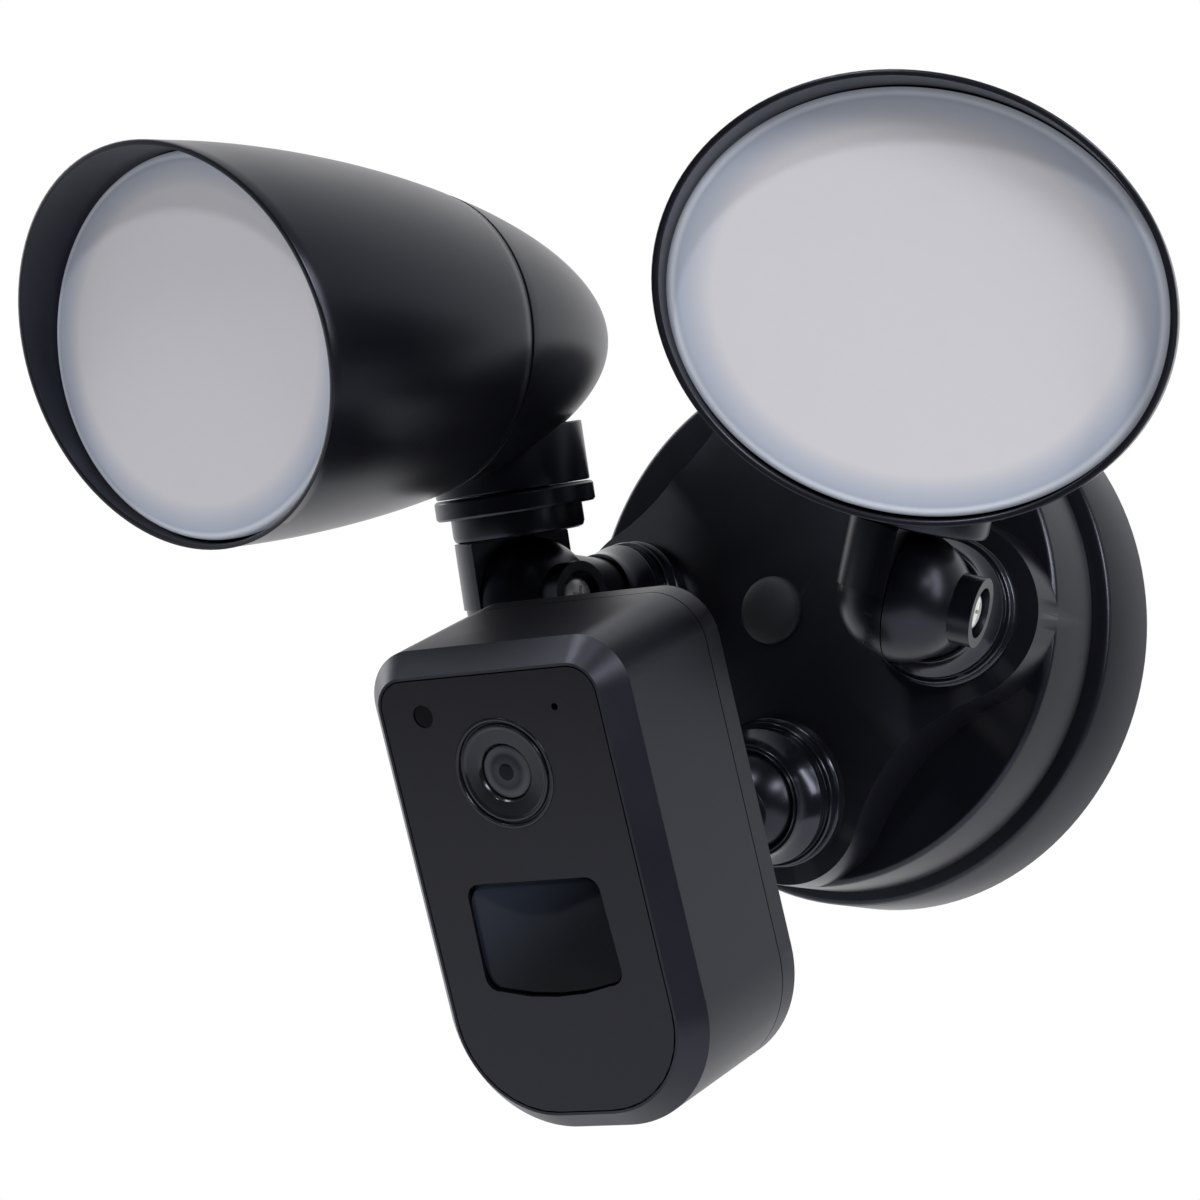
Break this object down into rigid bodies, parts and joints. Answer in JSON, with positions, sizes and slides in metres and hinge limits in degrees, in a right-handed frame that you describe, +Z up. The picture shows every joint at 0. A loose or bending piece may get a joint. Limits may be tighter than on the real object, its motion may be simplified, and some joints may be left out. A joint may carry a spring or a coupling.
{
  "type": "floodlight security camera",
  "caption": "Black wall floodlight camera: round plate, two jointed oval lamps and a camera on a ball-jointed stem.",
  "frame": {"origin": "centre of the wall plate on the wall plane, at the back of the gasket and of the crossbar", "axes": "+Z up, -Y out of the wall towards the viewer, +X to the viewer's right"},
  "size_m": [0.2782, 0.2109, 0.2119],
  "materials": {
    "black_plastic": "satin moulded black",
    "steel": "bright stainless fastener",
    "rubber_seal": "matte black rubber",
    "circuit_board": "green solder mask",
    "components": "dull electronic parts",
    "white_plastic": "white",
    "frosted_lens": "milky diffuser with a faint sheen",
    "led_yellow": "phosphor",
    "heat_sink_aluminium": "plain cast",
    "face_gloss": "deep glossy black",
    "lens_glass": "coated camera glass",
    "dark_window": "infrared dark window",
    "inner_plastic": "matte"
  },
  "bodies": {
    "mount": {"wall_gasket": "rubber_seal", "crossbar": "steel", "base_ring": "black_plastic", "mount_screws": "steel", "canopy_seal": "rubber_seal", "canopy": "black_plastic", "left_collar": "black_plastic", "right_collar": "black_plastic", "camera_collar": "black_plastic", "center_bolt": "steel", "bolt_plug": "rubber_seal", "driver_board": "circuit_board", "driver_parts": "components"},
    "left_elbow": {"left_arm": "black_plastic", "left_arm_nut": "steel", "left_knuckle_screw": "steel"},
    "left_neck": {"left_link": "black_plastic", "left_knuckle_nut": "steel", "left_lock_ring": "black_plastic", "left_neck_nut": "steel"},
    "left_head": {"left_shroud": "black_plastic", "left_rear_cap": "black_plastic", "left_lens": "frosted_lens", "left_lens_gasket": "rubber_seal", "left_reflector": "white_plastic", "left_led_board": "white_plastic", "left_leds": "led_yellow", "left_heat_sink": "heat_sink_aluminium", "left_board_screws": "steel"},
    "right_elbow": {"right_arm": "black_plastic", "right_arm_nut": "steel", "right_knuckle_screw": "steel"},
    "right_neck": {"right_link": "black_plastic", "right_knuckle_nut": "steel", "right_lock_ring": "black_plastic", "right_neck_nut": "steel"},
    "right_head": {"right_shroud": "black_plastic", "right_rear_cap": "black_plastic", "right_lens": "frosted_lens", "right_lens_gasket": "rubber_seal", "right_reflector": "white_plastic", "right_led_board": "white_plastic", "right_leds": "led_yellow", "right_heat_sink": "heat_sink_aluminium", "right_board_screws": "steel"},
    "camera_socket": {"ball_liner": "inner_plastic"},
    "camera_stem": {"ball_stem": "black_plastic"},
    "camera_body": {"module_shell": "black_plastic", "module_cover": "black_plastic", "module_seal": "rubber_seal", "face_plate": "face_gloss", "lens_ring": "black_plastic", "lens_barrel": "inner_plastic", "lens_glass": "lens_glass", "pir_window": "dark_window", "pir_sensor": "steel", "light_pipe": "dark_window", "main_board": "circuit_board", "speaker": "inner_plastic", "module_screws": "steel"}
  },
  "joints": [
    {"name": "left_arm_turn", "type": "hinge", "parent": "mount", "child": "left_elbow", "pos_m": [-0.0408, -0.0558, 0], "axis": [0.247, 0.969, 0], "range_deg": [-18, 22]},
    {"name": "left_lamp_tilt", "type": "hinge", "parent": "left_elbow", "child": "left_neck", "pos_m": [-0.04917, -0.08865, 0], "axis": [0.9684, -0.2468, 0.0349], "range_deg": [-15.7, 10.3]},
    {"name": "left_lamp_turn", "type": "hinge", "parent": "left_neck", "child": "left_head", "pos_m": [-0.04917, -0.08865, 0], "axis": [-0.0914, -0.2211, 0.971], "range_deg": [-24.1, 25.9]},
    {"name": "right_arm_turn", "type": "hinge", "parent": "mount", "child": "right_elbow", "pos_m": [0.0408, -0.0558, 0], "axis": [-0.247, 0.969, 0], "range_deg": [-32.6, 7.4]},
    {"name": "right_lamp_tilt", "type": "hinge", "parent": "right_elbow", "child": "right_neck", "pos_m": [0.04917, -0.08865, 0], "axis": [0.9457, 0.241, -0.2181], "range_deg": [-11.5, 14.5]},
    {"name": "right_lamp_turn", "type": "hinge", "parent": "right_neck", "child": "right_head", "pos_m": [0.04917, -0.08865, 0], "axis": [0.2493, -0.1068, 0.9625], "range_deg": [-34.4, 15.6]},
    {"name": "camera_pan", "type": "hinge", "parent": "mount", "child": "camera_socket", "pos_m": [0, -0.06355, -0.04278], "axis": [0, 0, 1], "range_deg": [-12, 12]},
    {"name": "camera_tilt", "type": "hinge", "parent": "camera_socket", "child": "camera_stem", "pos_m": [0, -0.06355, -0.04278], "axis": [1, 0, 0], "range_deg": [-14, 6]},
    {"name": "camera_roll", "type": "hinge", "parent": "camera_stem", "child": "camera_body", "pos_m": [0, -0.06355, -0.04278], "axis": [0, 0.9239, 0.3827], "range_deg": [-13.6, 22.4]}
  ]
}
